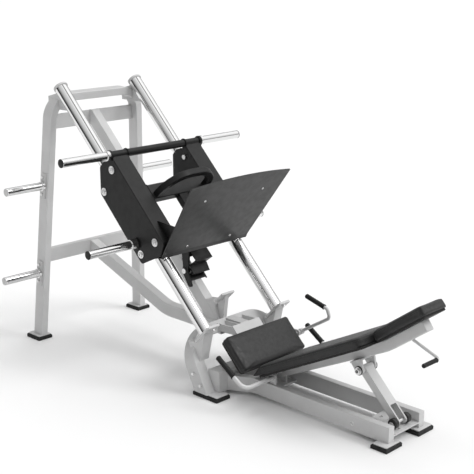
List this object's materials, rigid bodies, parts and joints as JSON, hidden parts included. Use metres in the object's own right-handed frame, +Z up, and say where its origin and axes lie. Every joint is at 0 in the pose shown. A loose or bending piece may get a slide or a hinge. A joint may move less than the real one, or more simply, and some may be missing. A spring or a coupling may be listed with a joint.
{
  "type": "leg press machine",
  "caption": "Sloping plate-loaded leg press: carriage with foot plate on chrome guide tubes, fixed seat, tilting backrest with strut, stop and release lever.",
  "frame": {"origin": "on the floor under the middle of the bounding box", "axes": "+Z up, +Y from the backrest end towards the weight tower, +X to the right of a person sitting in the machine"},
  "size_m": [1.406, 2.8534, 1.6649],
  "materials": {
    "frame_paint": "satin",
    "black_paint": "satin",
    "plate_paint": "satin",
    "chrome": "polished",
    "zinc": "satin",
    "upholstery": "matte",
    "black_board": "matte",
    "black_rubber": "matte",
    "nylon": "matte"
  },
  "bodies": {
    "frame": {"tower_upright_left": "frame_paint", "tower_upright_right": "frame_paint", "tower_top": "frame_paint", "upper_crossbar": "frame_paint", "lower_crossbar": "frame_paint", "spine_beam": "frame_paint", "centre_beam": "frame_paint", "bumper": "frame_paint", "middle_leg_left": "frame_paint", "middle_leg_right": "frame_paint", "middle_arch_top": "frame_paint", "low_cross_member": "frame_paint", "base_rail_left": "frame_paint", "base_rail_right": "frame_paint", "strut_track": "frame_paint", "hinge_bracket": "frame_paint", "guide_flanges": "frame_paint", "seat_grip_posts": "frame_paint", "lever_bracket": "frame_paint", "storage_brackets": "frame_paint", "seat_mount": "frame_paint", "seat_grip_tubes": "frame_paint", "frame_bolts": "zinc", "backrest_hinge_pin": "zinc", "guide_tube_left": "chrome", "guide_tube_right": "chrome", "storage_pegs": "chrome", "feet": "black_rubber", "seat_grips": "black_rubber", "seat_board": "black_board", "seat_pad": "upholstery"},
    "carriage": {"carriage_side_left": "black_paint", "carriage_side_right": "black_paint", "carriage_crossbar": "black_paint", "carriage_upper_tube": "black_paint", "carriage_hoop": "black_paint", "rest_bar": "black_paint", "foot_plate_supports": "black_paint", "peg_collars": "black_paint", "foot_plate": "plate_paint", "roller_axles": "zinc", "weight_pegs": "chrome"},
    "stop": {"safety_stop": "black_paint", "safety_stop_pin": "zinc"},
    "lever": {"release_lever": "frame_paint", "release_lever_grip": "black_rubber"},
    "backrest": {"backrest_beam": "frame_paint", "strut_bracket": "frame_paint", "lifting_handle": "frame_paint", "strut_pivot_bolt": "zinc", "backrest_boards": "black_board", "backrest_pad": "upholstery", "lifting_grip": "black_rubber"},
    "strut": {"strut": "frame_paint", "strut_axle": "zinc"},
    "strut_wheels": {"strut_rollers": "nylon"},
    "rollers_lower_front": {"guide_rollers_lower_front": "nylon"},
    "rollers_lower_back": {"guide_rollers_lower_back": "nylon"},
    "rollers_upper_front": {"guide_rollers_upper_front": "nylon"},
    "rollers_upper_back": {"guide_rollers_upper_back": "nylon"}
  },
  "joints": [
    {"name": "carriage_travel", "type": "slide", "parent": "frame", "child": "carriage", "axis": [0, 0.7071, 0.7071], "range_m": [0, 0.53]},
    {"name": "safety_stop_swing", "type": "hinge", "parent": "frame", "child": "stop", "pos_m": [0, 0.33411, 0.5901], "axis": [-1, 0, 0], "range_deg": [0, 38]},
    {"name": "release_lever_swing", "type": "hinge", "parent": "frame", "child": "lever", "pos_m": [0.325, -0.24425, 0.252], "axis": [-1, 0, 0], "range_deg": [0, 38]},
    {"name": "backrest_tilt", "type": "hinge", "parent": "frame", "child": "backrest", "pos_m": [0, -0.35625, 0.12], "axis": [-1, 0, 0], "range_deg": [0, 5]},
    {"name": "strut_swing", "type": "hinge", "parent": "backrest", "child": "strut", "pos_m": [0, -0.97425, 0.321], "axis": [1, 0, 0], "range_deg": [0, 20]},
    {"name": "strut_wheels_turn", "type": "hinge", "parent": "strut", "child": "strut_wheels", "pos_m": [0, -1.19925, 0.093], "axis": [1, 0, 0], "continuous": true},
    {"name": "rollers_lower_front_turn", "type": "hinge", "parent": "carriage", "child": "rollers_lower_front", "pos_m": [0, 0.27895, 0.8291], "axis": [1, 0, 0], "continuous": true},
    {"name": "rollers_lower_back_turn", "type": "hinge", "parent": "carriage", "child": "rollers_lower_back", "pos_m": [0, 0.4027, 0.73505], "axis": [1, 0, 0], "continuous": true},
    {"name": "rollers_upper_front_turn", "type": "hinge", "parent": "carriage", "child": "rollers_upper_front", "pos_m": [0, 0.64736, 1.1975], "axis": [1, 0, 0], "continuous": true},
    {"name": "rollers_upper_back_turn", "type": "hinge", "parent": "carriage", "child": "rollers_upper_back", "pos_m": [0, 0.72372, 1.05608], "axis": [1, 0, 0], "continuous": true}
  ],
  "couplings": [
    {"joint": "release_lever_swing", "follows": "safety_stop_swing", "ratio": 1},
    {"joint": "strut_swing", "follows": "backrest_tilt", "ratio": 4},
    {"joint": "rollers_lower_front_turn", "follows": "carriage_travel", "rad_per_m": -27.064},
    {"joint": "rollers_lower_back_turn", "follows": "carriage_travel", "rad_per_m": 27.064},
    {"joint": "rollers_upper_front_turn", "follows": "carriage_travel", "rad_per_m": -27.064},
    {"joint": "rollers_upper_back_turn", "follows": "carriage_travel", "rad_per_m": 27.064}
  ]
}
